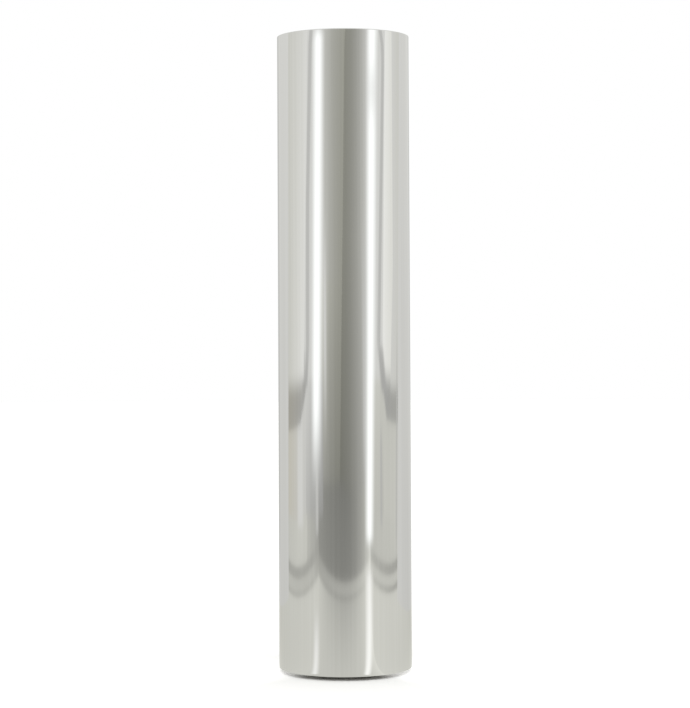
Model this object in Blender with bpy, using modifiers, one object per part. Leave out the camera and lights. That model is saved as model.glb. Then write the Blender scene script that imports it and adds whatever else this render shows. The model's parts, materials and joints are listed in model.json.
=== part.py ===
"""Wide roll of bright silver foil, wound on a paper core and standing on end.

Metres, +Z up along the roll's axis, with the origin at the centre of the core's lower end. The
side that is looked at faces -Y. Seen from above the foil winds anticlockwise, and its free end
lies on the far side, closed with a piece of tape.
"""

import math

import bmesh
import bpy
import numpy as np
from mathutils import Vector

# The foil: one web, whose outer turn and free end are sheets over a plain winding
FOIL_WIDTH = 0.500
ROLL_DIAMETER = 0.1045  # over the outer turn
FOIL_THICKNESS = 0.0004  # stands in for a film of some hundredths of a millimetre
TURN_GAP = 0.0005  # from one turn to the next
CLIMB_LENGTH = 0.018  # stretch in which the outer turn climbs over its own start
LAP_LENGTH = 0.006  # from the outer turn's start to the tail's root
TAIL_LENGTH = 0.034  # free end, from the line where it peels to its edge
TAIL_EDGE_DEG = 140.0  # place of the free edge, anticlockwise from +X

# The core: strips of paper wound in a spiral, edge to edge, and glued
CORE_BORE = 0.0508
CORE_OVERHANG = 0.003  # the core stands proud of the foil at each end
LINER_THICKNESS = 0.0007
BODY_THICKNESS = 0.0022
COVER_THICKNESS = 0.0007
PLY_LEAD = 0.170  # rise of a strip in one turn
SEAM_WIDTH = 0.0006  # between the edges of a strip's turns
LINER_SEAM_DEG = 0.0
COVER_SEAM_DEG = 180.0

# The tapes: one holds the foil's first edge on the core, one closes its last edge on the roll
START_TAPE_WIDTH = 0.025
START_TAPE_THICKNESS = 0.0003
START_TAPE_DEG = 30.0
CLOSING_TAPE_LENGTH = 0.048  # round the roll, half of it on the tail
CLOSING_TAPE_WIDTH = 0.025
CLOSING_TAPE_THICKNESS = 0.0002
CLOSING_TAPE_STEP = 0.005  # stretch in which the tape steps down off the tail's edge

# Between pieces that touch or are glued on the real roll
CLEARANCE = 0.0003

# Flat facets in a full turn
FOIL_FACETS = 96
CORE_FACETS = 48
TAPE_FACETS = 240
GAP_FACETS = 3600  # points in a turn where the outer turn's gap to itself is measured
SHARP_ANGLE = math.radians(30)
SCREW_MERGE = 0.00001

# Heights
CORE_LENGTH = FOIL_WIDTH + 2 * CORE_OVERHANG
FOIL_SPAN = (CORE_OVERHANG, CORE_OVERHANG + FOIL_WIDTH)
CLOSING_TAPE_SPAN = (
    (CORE_LENGTH - CLOSING_TAPE_WIDTH) / 2,
    (CORE_LENGTH + CLOSING_TAPE_WIDTH) / 2,
)

# Radii, from the bore outwards
LINER_RADIUS = CORE_BORE / 2
BODY_RADIUS = LINER_RADIUS + LINER_THICKNESS + CLEARANCE
COVER_RADIUS = BODY_RADIUS + BODY_THICKNESS + CLEARANCE
CORE_RADIUS = COVER_RADIUS + COVER_THICKNESS
WINDING_BORE_RADIUS = CORE_RADIUS + CLEARANCE
START_TAPE_TOP = WINDING_BORE_RADIUS + START_TAPE_THICKNESS
TURN_TOP = ROLL_DIAMETER / 2
TURN_RADIUS = TURN_TOP - FOIL_THICKNESS
WINDING_RADIUS = TURN_RADIUS - TURN_GAP
TAIL_RADIUS = TURN_TOP + TURN_GAP
TAIL_TOP = TAIL_RADIUS + FOIL_THICKNESS

# Angles along the web, in radians, growing the way that the foil winds
TAIL_EDGE = math.radians(TAIL_EDGE_DEG) + math.tau
TAIL_ROOT = TAIL_EDGE - TAIL_LENGTH / TAIL_TOP
TURN_START = TAIL_ROOT - LAP_LENGTH / TAIL_TOP - math.tau
TURN_END = TAIL_ROOT - CLEARANCE / TAIL_TOP
CLIMB_START = TURN_START + math.tau - CLIMB_LENGTH / TURN_TOP


def polar(radius, angle, height=0.0):
    """Point at this distance from the roll's axis, angle and height."""
    return Vector((radius * math.cos(angle), radius * math.sin(angle), height))


def ease(share):
    """0 to 1 with a level start and end, held there outside."""
    share = min(max(share, 0.0), 1.0)
    return share * share * (3 - 2 * share)


def outer_turn_radius(angle):
    """Inner face of the outer turn: round the winding, then up over its own start."""
    climb = ease((angle - CLIMB_START) * TURN_TOP / CLIMB_LENGTH)
    return TURN_RADIUS + (TAIL_RADIUS - TURN_RADIUS) * climb


def closing_tape_radius(angle):
    """Inner face of the closing tape: on the tail, then down off its edge onto the outer turn."""
    past_edge = (angle - TAIL_EDGE) * TAIL_TOP - CLEARANCE
    fall = ease(past_edge / CLOSING_TAPE_STEP)
    return TAIL_TOP + CLEARANCE - (TAIL_TOP - TURN_TOP) * fall


def least_turn_gap():
    """Least gap between the outer turn's start and its end, which climbs over it."""
    step = math.tau / GAP_FACETS
    under = np.arange(TURN_START, TURN_END - math.tau, step)
    over = np.arange(CLIMB_START, TURN_END, step)
    tops = np.array([polar(outer_turn_radius(a) + FOIL_THICKNESS, a) for a in under])
    feet = np.array([polar(outer_turn_radius(a), a) for a in over])
    return float(np.linalg.norm(tops[:, None] - feet[None], axis=2).min())


def finish(name, colour, roughness, metallic=0.0):
    """Material of one linear colour."""
    material = bpy.data.materials.new(name)
    material.use_nodes = True
    shader = material.node_tree.nodes["Principled BSDF"]
    shader.inputs["Base Color"].default_value = (*colour, 1.0)
    shader.inputs["Roughness"].default_value = roughness
    shader.inputs["Metallic"].default_value = metallic
    return material


def new_collection(name):
    """Collection in the scene."""
    collection = bpy.data.collections.new(name)
    bpy.context.scene.collection.children.link(collection)
    return collection


def new_piece(name, shape, collection):
    """Object of this bmesh, which is used up, in the collection."""
    mesh = bpy.data.meshes.new(name)
    shape.to_mesh(mesh)
    shape.free()
    piece = bpy.data.objects.new(name, mesh)
    collection.objects.link(piece)
    return piece


def new_profile(name, points, closed, collection):
    """Object of the edges from each point to the next, for Screw to turn."""
    shape = bmesh.new()
    corners = [shape.verts.new(point) for point in points]
    following = corners[1:] + corners[:1] if closed else corners[1:]
    for first, second in zip(corners, following):
        shape.edges.new((first, second))
    return new_piece(name, shape, collection)


def add_screw(piece, steps, rise=0.0, turns=1):
    """Turn a profile round the roll's axis, rising by so much in each turn."""
    screw = piece.modifiers.new("Turn", "SCREW")
    screw.steps = screw.render_steps = steps
    screw.screw_offset = rise
    screw.iterations = turns
    screw.use_merge_vertices = rise == 0
    screw.merge_threshold = SCREW_MERGE


def add_wall(piece, thickness):
    """Thicken an open surface outwards."""
    wall = piece.modifiers.new("Wall", "SOLIDIFY")
    wall.thickness = thickness
    wall.offset = 1.0
    wall.use_even_offset = True


def add_cut(piece, operation, cutter):
    """Take a cutter's shape out of a piece, or keep what lies inside it."""
    cut = piece.modifiers.new("Cut", "BOOLEAN")
    cut.operation = operation
    cut.solver = "EXACT"
    cut.object = cutter


def settle(piece, material):
    """Keep the shape that the modifiers give, smooth except at its edges, and finish it."""
    graph = bpy.context.evaluated_depsgraph_get()
    mesh = bpy.data.meshes.new_from_object(piece.evaluated_get(graph))
    mesh.name = piece.name
    mesh.shade_smooth()
    mesh.set_sharp_from_angle(angle=SHARP_ANGLE)
    mesh.materials.clear()
    mesh.materials.append(material)
    piece.modifiers.clear()
    piece.data = mesh
    return piece


def as_cutter(piece):
    """Show a piece as a wire outline only."""
    piece.hide_render = True
    piece.display_type = "WIRE"
    return piece


def turned_ring(name, inner, outer, span, steps, collection):
    """Plain ring round the roll's axis, from its low to its high end."""
    low, high = span
    points = [(outer, 0, high), (outer, 0, low), (inner, 0, low), (inner, 0, high)]
    ring = new_profile(name, points, True, collection)
    add_screw(ring, steps)
    return ring


def spiral_ply(name, inner, thickness, seam_deg, trim, collection):
    """Paper strip wound edge to edge up the core, with an open seam, and cut off square."""
    seam = math.radians(seam_deg)
    points = [polar(inner, seam, -SEAM_WIDTH), polar(inner, seam, -PLY_LEAD)]
    ply = new_profile(name, points, False, collection)
    turns = math.ceil((CORE_LENGTH + SEAM_WIDTH) / PLY_LEAD) + 1
    add_screw(ply, CORE_FACETS, rise=PLY_LEAD, turns=turns)
    add_wall(ply, thickness)
    add_cut(ply, "INTERSECT", trim)
    return ply


def sheet(name, radius_at, arc, span, thickness, facets, collection):
    """Upright sheet along the inner radius at each angle of its arc, from its low to its high edge."""
    low, high = span
    first, last = arc
    count = max(2, math.ceil((last - first) * facets / math.tau))
    shape = bmesh.new()
    foot = [
        shape.verts.new(polar(radius_at(angle), angle, low))
        for angle in np.linspace(first, last, count + 1)
    ]
    edges = [shape.edges.new(pair) for pair in zip(foot, foot[1:])]
    grown = bmesh.ops.extrude_edge_only(shape, edges=edges)["geom"]
    head = [item for item in grown if isinstance(item, bmesh.types.BMVert)]
    bmesh.ops.translate(shape, verts=head, vec=(0, 0, high - low))
    shape.normal_update()
    shape.faces.ensure_lookup_table()
    middle = shape.faces[0].calc_center_median()
    if shape.faces[0].normal.dot(Vector((middle.x, middle.y, 0))) < 0:
        bmesh.ops.reverse_faces(shape, faces=shape.faces)
    piece = new_piece(name, shape, collection)
    add_wall(piece, thickness)
    return piece


def hang_on(hinge, piece):
    """Parent a piece to a hinge, with its origin there and its shape where it was."""
    piece.data.transform(hinge.matrix_world.inverted())
    piece.parent = hinge


def make_core(parts, cutters):
    """Core in three layers: a liner in the bore, the body plies glued as one wall, and a cover."""
    kraft = finish("kraft_paper", (0.40, 0.27, 0.16), 0.85)
    liner_paper = finish("liner_paper", (0.50, 0.38, 0.26), 0.80)
    full_length = (0, CORE_LENGTH)
    trim = as_cutter(turned_ring("core_trim", 0, TURN_TOP, full_length, CORE_FACETS, cutters))
    liner = spiral_ply(
        "core_liner_ply", LINER_RADIUS, LINER_THICKNESS, LINER_SEAM_DEG, trim, parts
    )
    settle(liner, liner_paper)
    body_top = BODY_RADIUS + BODY_THICKNESS
    body = turned_ring(
        "core_body_plies", BODY_RADIUS, body_top, full_length, CORE_FACETS, parts
    )
    settle(body, kraft)
    cover = spiral_ply(
        "core_cover_ply", COVER_RADIUS, COVER_THICKNESS, COVER_SEAM_DEG, trim, parts
    )
    settle(cover, kraft)
    return [liner, body, cover]


def start_tape_arc(margin=0.0):
    """First and last angle of the start tape, with a margin at each side."""
    half = (START_TAPE_WIDTH / 2 + margin) / WINDING_BORE_RADIUS
    middle = math.radians(START_TAPE_DEG)
    return middle - half, middle + half


def make_start_tape(parts):
    """Double-sided tape along the core, under the foil's first edge."""
    tape = sheet(
        "start_tape",
        lambda angle: WINDING_BORE_RADIUS,
        start_tape_arc(),
        FOIL_SPAN,
        START_TAPE_THICKNESS,
        TAPE_FACETS,
        parts,
    )
    return settle(tape, finish("double_sided_tape", (0.68, 0.62, 0.48), 0.5))


def make_winding(parts, cutters, foil):
    """Bulk of the wound foil, which lies over the start tape."""
    low, high = FOIL_SPAN
    channel = sheet(
        "tape_channel",
        lambda angle: CORE_RADIUS,
        start_tape_arc(CLEARANCE),
        (low - CLEARANCE, high + CLEARANCE),
        START_TAPE_TOP + CLEARANCE - CORE_RADIUS,
        TAPE_FACETS,
        cutters,
    )
    winding = turned_ring(
        "foil_winding", WINDING_BORE_RADIUS, WINDING_RADIUS, FOIL_SPAN, FOIL_FACETS, parts
    )
    add_cut(winding, "DIFFERENCE", as_cutter(channel))
    return settle(winding, foil)


def make_outer_turn(parts, foil):
    """Outermost turn of the foil, one unbroken sheet that laps over its own start."""
    turn = sheet(
        "foil_outer_turn",
        outer_turn_radius,
        (TURN_START, TURN_END),
        FOIL_SPAN,
        FOIL_THICKNESS,
        FOIL_FACETS,
        parts,
    )
    return settle(turn, foil)


def make_tail(parts, foil):
    """Free end of the foil, past the line where it peels off the roll."""
    tail = sheet(
        "foil_tail",
        lambda angle: TAIL_RADIUS,
        (TAIL_ROOT, TAIL_EDGE),
        FOIL_SPAN,
        FOIL_THICKNESS,
        FOIL_FACETS,
        parts,
    )
    return settle(tail, foil)


def make_closing_tape(parts):
    """Tape across the foil's free edge, half on the tail and half on the outer turn."""
    half = CLOSING_TAPE_LENGTH / 2 / TAIL_TOP
    tape = sheet(
        "closing_tape",
        closing_tape_radius,
        (TAIL_EDGE - half, TAIL_EDGE + half),
        CLOSING_TAPE_SPAN,
        CLOSING_TAPE_THICKNESS,
        TAPE_FACETS,
        parts,
    )
    return settle(tape, finish("paper_tape", (0.72, 0.64, 0.48), 0.75))


def new_empty(name, place, parent, collection):
    """Empty on a joint's axis, at this place in its parent."""
    empty = bpy.data.objects.new(name, None)
    empty.location = place
    empty.parent = parent
    collection.objects.link(empty)
    bpy.context.view_layer.update()
    return empty


def main():
    """Build the roll from the core outwards."""
    for leftover in list(bpy.data.objects):
        bpy.data.objects.remove(leftover)
    parts = new_collection("Foil roll")
    cutters = new_collection("Foil roll cutters")
    foil = finish("silver_foil", (0.62, 0.615, 0.59), 0.08, metallic=1.0)

    roll_axis = new_empty("roll_axis", (0, 0, 0), None, parts)
    outer_turn = make_outer_turn(parts, foil)
    on_axis = make_core(parts, cutters)
    on_axis += [make_start_tape(parts), make_winding(parts, cutters, foil), outer_turn]
    for piece in on_axis:
        hang_on(roll_axis, piece)

    hinge_place = polar(TAIL_TOP, TAIL_ROOT, CORE_LENGTH / 2)
    tail_hinge = new_empty("tail_hinge", hinge_place, outer_turn, parts)
    hang_on(tail_hinge, make_tail(parts, foil))
    hang_on(tail_hinge, make_closing_tape(parts))

    gap = least_turn_gap()
    print(f"foil_outer_turn: least gap to itself {gap * 1000:.2f} mm")


main()
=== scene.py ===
"""Looks of a wide roll of bright silver foil on a paper core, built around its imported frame.

Metres, +Z up along the roll's axis. Seen from above the foil winds anticlockwise, and angles run
that way from +X. The studio's bearings run the same way from the camera's side, -Y, in degrees.
"""

import json
import logging
import math
from dataclasses import dataclass
from enum import Enum
from functools import partial
from typing import Protocol

import bpy
import numpy as np
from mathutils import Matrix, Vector


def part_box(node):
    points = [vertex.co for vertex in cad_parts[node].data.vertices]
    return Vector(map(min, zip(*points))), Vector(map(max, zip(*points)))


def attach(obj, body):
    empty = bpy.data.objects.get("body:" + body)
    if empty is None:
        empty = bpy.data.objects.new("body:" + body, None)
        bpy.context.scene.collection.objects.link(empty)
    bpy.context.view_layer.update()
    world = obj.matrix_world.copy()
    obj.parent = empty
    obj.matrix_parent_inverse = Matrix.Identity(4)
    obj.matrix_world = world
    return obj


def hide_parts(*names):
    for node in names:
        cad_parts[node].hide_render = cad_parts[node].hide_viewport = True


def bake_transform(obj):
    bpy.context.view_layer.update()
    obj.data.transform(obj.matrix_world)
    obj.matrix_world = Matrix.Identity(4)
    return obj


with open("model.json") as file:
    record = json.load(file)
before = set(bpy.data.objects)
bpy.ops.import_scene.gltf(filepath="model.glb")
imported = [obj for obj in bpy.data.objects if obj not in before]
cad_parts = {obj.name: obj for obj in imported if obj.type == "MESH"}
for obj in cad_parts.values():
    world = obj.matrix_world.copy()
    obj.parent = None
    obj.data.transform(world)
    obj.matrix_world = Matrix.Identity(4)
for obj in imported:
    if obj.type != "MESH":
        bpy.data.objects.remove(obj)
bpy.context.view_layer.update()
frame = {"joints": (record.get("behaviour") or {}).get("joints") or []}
LOG = logging.getLogger("foil_roll")

Pair = tuple[float, float]
Quad = tuple[float, float, float, float]

# The frame's own sizes that several pieces share
FOIL_LOW, FOIL_HIGH = (corner.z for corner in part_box("foil_winding"))
CORE_LOW, CORE_HIGH = (corner.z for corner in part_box("core_body_plies"))
ROLL_RADIUS = 0.05225  # over the outer turn
CORE_RADIUS = 0.0296
LAP_LENGTH = 0.006  # from the outer turn's start to the line where the free end peels
TAIL_LENGTH = 0.034
FILM_THICKNESS = 0.00012  # thicker than the real film, so that its cut edge can show
LAP_RISE = 0.00022  # step from the outer turn up to the free end that laps over it
PEEL_PLACE = Vector(next(j["pos_m"] for j in frame["joints"] if j["name"] == "tail_peel"))
PEEL_ANGLE = math.atan2(PEEL_PLACE.y, PEEL_PLACE.x) + math.tau
TURN_START = PEEL_ANGLE - LAP_LENGTH / ROLL_RADIUS - math.tau
TAIL_EDGE = PEEL_ANGLE + TAIL_LENGTH / PEEL_PLACE.xy.length

SHARP_ANGLE = math.radians(30)
WELD = 1e-6  # distance within which points become one
NOISE_MIDDLE = 0.5  # value that noise wanders about
NO_FADE = (0.0, 0.0, 0.0, 0.0)
CARD_STEPS = 12

# Tints of the studio's walls, flats and lamps, as the mirror shows them
WHITE = "#FFFFFF"
WARM = "#FFFFF3"
PALE = "#FFFFFA"
TAN = "#FFFBEF"
COOL = "#FAFCFF"


class Body(Enum):
    """Bodies of the frame that pieces ride on."""

    ROLL = "roll"
    OUTER_TURN = "outer_turn"
    TAIL = "tail"


class Slot(Enum):
    """Material slots of the record."""

    FOIL = "silver_foil"
    KRAFT = "kraft_paper"
    LINER = "liner_paper"
    TRANSFER_TAPE = "double_sided_tape"
    PAPER_TAPE = "paper_tape"


class Side(Enum):
    """Sides of the studio as the camera sees them; the value is the sign of their bearings."""

    LEFT = -1
    RIGHT = 1


def linear(hex_colour: str) -> Quad:
    """Linear RGBA of an sRGB hex colour.

    Args:
        hex_colour: Colour such as "#CFCEC9".
    Returns:
        Red, green and blue in linear light, and an alpha of 1.
    """
    shares = [int(hex_colour[i : i + 2], 16) / 255 for i in (1, 3, 5)]
    red, green, blue = (s / 12.92 if s <= 0.04045 else ((s + 0.055) / 1.055) ** 2.4 for s in shares)
    return red, green, blue, 1.0


def add_node(
    tree: bpy.types.NodeTree, kind: str, feeds: dict | None = None, **settings: object
) -> bpy.types.Node:
    """Add a node with its settings and links.

    Args:
        tree: Tree that gets the node.
        kind: Blender's type name of the node.
        feeds: What goes into its inputs, by name or number: a node, an output socket or a value.
        settings: Properties of the node.
    Returns:
        The new node.
    """
    node = tree.nodes.new(kind)
    for name, value in settings.items():
        setattr(node, name, value)
    for key, feed in (feeds or {}).items():
        if isinstance(feed, bpy.types.Node):
            feed = feed.outputs[0]
        if isinstance(feed, bpy.types.NodeSocket):
            tree.links.new(feed, node.inputs[key])
        else:
            node.inputs[key].default_value = feed
    return node


def new_material(name: str) -> tuple[bpy.types.Material, bpy.types.NodeTree, bpy.types.Node]:
    """Material with an empty tree but for its output.

    Args:
        name: Name of the real material.
    Returns:
        The material, its tree and its output node.
    """
    material = bpy.data.materials.new(name)
    material.use_nodes = True
    tree = material.node_tree
    tree.nodes.clear()
    return material, tree, add_node(tree, "ShaderNodeOutputMaterial")


class Finish(Protocol):
    """Anything that can make its material."""

    def material(self) -> bpy.types.Material:
        """Material of this finish."""


@dataclass(frozen=True)
class MirrorFilm:
    """Bright metallised polyester film: a mirror with very faint streaks along the roll."""

    bright: str = "#D4D4D1"
    dull: str = "#CACAC6"
    glancing: str = "#F7F7F5"
    roughness: Pair = (0.050, 0.075)
    streak_width: float = 0.0024
    streak_length: float = 0.400
    streak_height: float = 0.000003
    streak_detail: float = 2.0
    # Painted shade: the darker grey along the cut end stands for the free edge's fine shadow line
    cut: str = "#8F8F8B"
    cut_roughness: float = 0.30
    cut_width: float = 0.0008  # of the rougher band with painted shade, wider than a real cut's burr, so that it can show

    def material(self) -> bpy.types.Material:
        """Material on the piece's own web map, which gives metres along and across the web.

        Returns:
            The material.
        """
        # Vacuum-coated aluminium on a smooth film: sharp reflections, a touch greyer than
        # solid metal, with streaks that the calendered film leaves in them. Along its cut end the
        # coating is rougher, and painted shade darkens it into a fine grey line for the edge's shadow
        material, tree, output = new_material("bright_metallised_polyester_film")
        web = add_node(tree, "ShaderNodeUVMap", uv_map="web")
        lengths = (1 / self.streak_width, 1 / self.streak_length, 1.0)
        scaled = add_node(tree, "ShaderNodeVectorMath", {0: web, 1: lengths}, operation="MULTIPLY")
        noise = {"Vector": scaled, "Scale": 1.0, "Detail": self.streak_detail}
        streaks = add_node(tree, "ShaderNodeTexNoise", noise)
        coating = add_node(
            tree,
            "ShaderNodeMix",
            {"Factor": streaks, "A": linear(self.dull), "B": linear(self.bright)},
            data_type="RGBA",
        )
        low, high = self.roughness
        smooth = add_node(tree, "ShaderNodeMapRange", {"Value": streaks, "To Min": low, "To Max": high})
        along = add_node(tree, "ShaderNodeSeparateXYZ", {"Vector": web}).outputs["X"]
        cut_end = TAIL_EDGE * ROLL_RADIUS
        cut_range = {"From Min": cut_end - self.cut_width, "From Max": cut_end - self.cut_width / 2}
        # Painted shade and a rougher coating along the cut end
        shade_and_dull = add_node(tree, "ShaderNodeMapRange", {"Value": along, **cut_range})
        colour = add_node(
            tree,
            "ShaderNodeMix",
            {"Factor": shade_and_dull, "A": coating.outputs["Result"], "B": linear(self.cut)},
            data_type="RGBA",
        )
        rough = add_node(
            tree, "ShaderNodeMapRange", {"Value": shade_and_dull, "To Min": smooth, "To Max": self.cut_roughness}
        )
        bump = add_node(
            tree, "ShaderNodeBump", {"Height": streaks, "Strength": 1.0, "Distance": self.streak_height}
        )
        shader = add_node(
            tree,
            "ShaderNodeBsdfPrincipled",
            {
                "Base Color": colour.outputs["Result"],
                "Metallic": 1.0,
                "Roughness": rough,
                "Specular Tint": linear(self.glancing),
                "Normal": bump,
            },
        )
        tree.links.new(shader.outputs[0], output.inputs["Surface"])
        return material


@dataclass(frozen=True)
class SlitFilmEdges:
    """Slit edges of the wound film: satin silver with fine rings that glint along the radius."""

    pale: str = "#DAD9D4"
    dark: str = "#A9A8A2"
    tones: Pair = (0.1, 0.42)  # of bands times rings, from dark to pale
    roughness: Pair = (0.30, 0.44)
    band_width: float = 0.0011
    ring_width: float = 0.0004
    glint: float = 0.65

    def material(self) -> bpy.types.Material:
        """Material on Object coordinates, by the distance from the roll's axis.

        Returns:
            The material.
        """
        # Hundreds of cut edges side by side: each is a bright line, together a satin disc whose
        # rings catch the light across them. Real turns are too fine to show, so rings are coarser
        material, tree, output = new_material("slit_polyester_film_edges")
        place = add_node(tree, "ShaderNodeTexCoord").outputs["Object"]
        plan = (1.0, 1.0, 0.0)
        flat = add_node(tree, "ShaderNodeVectorMath", {0: place, 1: plan}, operation="MULTIPLY")
        radius = add_node(tree, "ShaderNodeVectorMath", {0: flat}, operation="LENGTH").outputs["Value"]
        bands, rings = (
            add_node(tree, "ShaderNodeTexNoise", {"W": radius, "Scale": 1 / width}, noise_dimensions="1D")
            for width in (self.band_width, self.ring_width)
        )
        tone = add_node(tree, "ShaderNodeMath", {0: bands, 1: rings}, operation="MULTIPLY")
        dark, pale = self.tones
        share = add_node(tree, "ShaderNodeMapRange", {"Value": tone, "From Min": dark, "From Max": pale})
        colour = add_node(
            tree,
            "ShaderNodeMix",
            {"Factor": share, "A": linear(self.dark), "B": linear(self.pale)},
            data_type="RGBA",
        )
        low, high = self.roughness
        rough = add_node(tree, "ShaderNodeMapRange", {"Value": bands, "To Min": low, "To Max": high})
        round_axis = add_node(tree, "ShaderNodeTangent", direction_type="RADIAL", axis="Z")
        shader = add_node(
            tree,
            "ShaderNodeBsdfPrincipled",
            {
                "Base Color": colour.outputs["Result"],
                "Metallic": 1.0,
                "Roughness": rough,
                "Anisotropic": self.glint,
                "Tangent": round_axis,
            },
        )
        tree.links.new(shader.outputs[0], output.inputs["Surface"])
        return material


@dataclass(frozen=True)
class Paper:
    """A pressed paper: fibres and specks in its colour, a soft matt surface."""

    name: str
    pale: str
    dark: str
    speck: str
    roughness: float = 0.85
    fibre_width: float = 0.0006  # of a clump, since single fibres are too fine to show
    fibre_length: float = 0.004
    fibre_detail: float = 4.0
    speck_size: float = 0.0016
    speck_detail: float = 3.0
    speck_range: Pair = (0.62, 0.72)  # of the noise, from bare paper to speck
    tooth: float = 0.00003
    tooth_strength: float = 0.8

    def material(self) -> bpy.types.Material:
        """Material on Object coordinates, with fibres that lie round the roll.

        Returns:
            The material.
        """
        # Unbleached fibres pressed flat: mottled, with darker shives and no shine
        material, tree, output = new_material(self.name)
        place = add_node(tree, "ShaderNodeTexCoord").outputs["Object"]
        lengths = (1 / self.fibre_length, 1 / self.fibre_length, 1 / self.fibre_width)
        scaled = add_node(tree, "ShaderNodeVectorMath", {0: place, 1: lengths}, operation="MULTIPLY")
        noise = {"Vector": scaled, "Scale": 1.0, "Detail": self.fibre_detail}
        fibres = add_node(tree, "ShaderNodeTexNoise", noise)
        ground = add_node(
            tree,
            "ShaderNodeMix",
            {"Factor": fibres, "A": linear(self.dark), "B": linear(self.pale)},
            data_type="RGBA",
        )
        noise = {"Vector": place, "Scale": 1 / self.speck_size, "Detail": self.speck_detail}
        shives = add_node(tree, "ShaderNodeTexNoise", noise)
        bare, full = self.speck_range
        few = add_node(tree, "ShaderNodeMapRange", {"Value": shives, "From Min": bare, "From Max": full})
        colour = add_node(
            tree,
            "ShaderNodeMix",
            {"Factor": few, "A": ground.outputs["Result"], "B": linear(self.speck)},
            data_type="RGBA",
        )
        relief = {"Height": fibres, "Strength": self.tooth_strength, "Distance": self.tooth}
        bump = add_node(tree, "ShaderNodeBump", relief)
        shader = add_node(
            tree,
            "ShaderNodeBsdfPrincipled",
            {"Base Color": colour.outputs["Result"], "Roughness": self.roughness, "Normal": bump},
        )
        tree.links.new(shader.outputs[0], output.inputs["Surface"])
        return material


FILM = MirrorFilm()
FILM_EDGES = SlitFilmEdges()
# Strong unbleached paper, pressed: brown, mottled and matt
KRAFT = Paper("kraft_paper", pale="#BE9468", dark="#94683F", speck="#6E4A2A")
# Recycled paper, pressed smoother for the bore: greyer, and a little less matt
LINER = Paper("grey_brown_liner_paper", pale="#BFA98C", dark="#9C8468", speck="#75604A", roughness=0.8)
# Paper creped so that it stretches, and sized: cream, with a slight sheen on its ridges
CREPE = Paper(
    "crepe_paper_tape",
    pale="#E6D9BB",
    dark="#D5C49F",
    speck="#C9B48A",
    roughness=0.62,
    fibre_length=0.002,
)
# Tissue with glue on both sides: yellowish, and shinier than bare paper
TRANSFER = Paper(
    "double_sided_transfer_tape", pale="#DED2B0", dark="#CFC199", speck="#BFAE80", roughness=0.45
)


def polar(radius: np.ndarray, angle: np.ndarray, height: np.ndarray) -> np.ndarray:
    """Points at these distances from the roll's axis, angles and heights."""
    return np.stack(np.broadcast_arrays(radius * np.cos(angle), radius * np.sin(angle), height), axis=-1)


def ease(share: np.ndarray) -> np.ndarray:
    """0 to 1 with a level start and end, held there outside."""
    held = np.clip(share, 0.0, 1.0)
    return held * held * (3 - 2 * held)


def new_piece(name: str, mesh: bpy.types.Mesh, finish: Finish) -> bpy.types.Object:
    """Object of a finished mesh, smooth except at its edges.

    Args:
        name: Name of the piece.
        mesh: Mesh in the roll's frame.
        finish: Finish that all of it gets.
    Returns:
        The object, in the scene.
    """
    mesh.name = name
    mesh.shade_smooth()
    mesh.set_sharp_from_angle(angle=SHARP_ANGLE)
    mesh.materials.clear()
    mesh.materials.append(finish.material())
    piece = bpy.data.objects.new(name, mesh)
    bpy.context.scene.collection.objects.link(piece)
    return piece


def shell_mesh(outer: np.ndarray, inner: np.ndarray, web: np.ndarray) -> bpy.types.Mesh:
    """Closed shell between two grids of points.

    Args:
        outer: Points of the outer face, by columns round the roll and rows upwards.
        inner: Points of the inner face, in the same order.
        web: Metres along and across the web at each point, which become the map "web".
    Returns:
        The mesh, with its faces outwards.
    """
    columns, rows = outer.shape[:2]
    number = np.arange(columns * rows).reshape(columns, rows)
    across = number + columns * rows
    quads = [(number[:-1, :-1], number[1:, :-1], number[1:, 1:], number[:-1, 1:])]
    quads.append((across[:-1, :-1], across[:-1, 1:], across[1:, 1:], across[1:, :-1]))
    quads.append((number[:-1, 0], across[:-1, 0], across[1:, 0], number[1:, 0]))
    quads.append((number[:-1, -1], number[1:, -1], across[1:, -1], across[:-1, -1]))
    quads.append((number[0, :-1], number[0, 1:], across[0, 1:], across[0, :-1]))
    quads.append((number[-1, :-1], across[-1, :-1], across[-1, 1:], number[-1, 1:]))
    faces = np.concatenate([np.stack(corners, axis=-1).reshape(-1, 4) for corners in quads])
    mesh = bpy.data.meshes.new("shell")
    points = np.concatenate([outer.reshape(-1, 3), inner.reshape(-1, 3)])
    mesh.from_pydata(points.tolist(), [], faces.tolist())
    layer = mesh.uv_layers.new(name="web")
    both = np.concatenate([web.reshape(-1, 2), web.reshape(-1, 2)])
    layer.data.foreach_set("uv", both[faces.ravel()].astype(np.float32).ravel())
    mesh.validate()
    return mesh


def turned_mesh(profile: np.ndarray, steps: int) -> bpy.types.Mesh:
    """Closed ring from a closed outline that is turned round the roll's axis.

    Args:
        profile: Distance from the axis and height of each point, anticlockwise seen with the
            axis on the left.
        steps: Facets in the turn.
    Returns:
        The mesh, with its faces outwards.
    """
    angles = np.linspace(0, math.tau, steps, endpoint=False)
    points = polar(profile[None, :, 0], angles[:, None], profile[None, :, 1])
    number = np.arange(points.shape[0] * points.shape[1]).reshape(points.shape[:2])
    onward = np.roll(number, -1, axis=0)
    corners = (number, onward, np.roll(onward, -1, axis=1), np.roll(number, -1, axis=1))
    mesh = bpy.data.meshes.new("ring")
    mesh.from_pydata(points.reshape(-1, 3).tolist(), [], np.stack(corners, -1).reshape(-1, 4).tolist())
    return mesh


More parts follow.
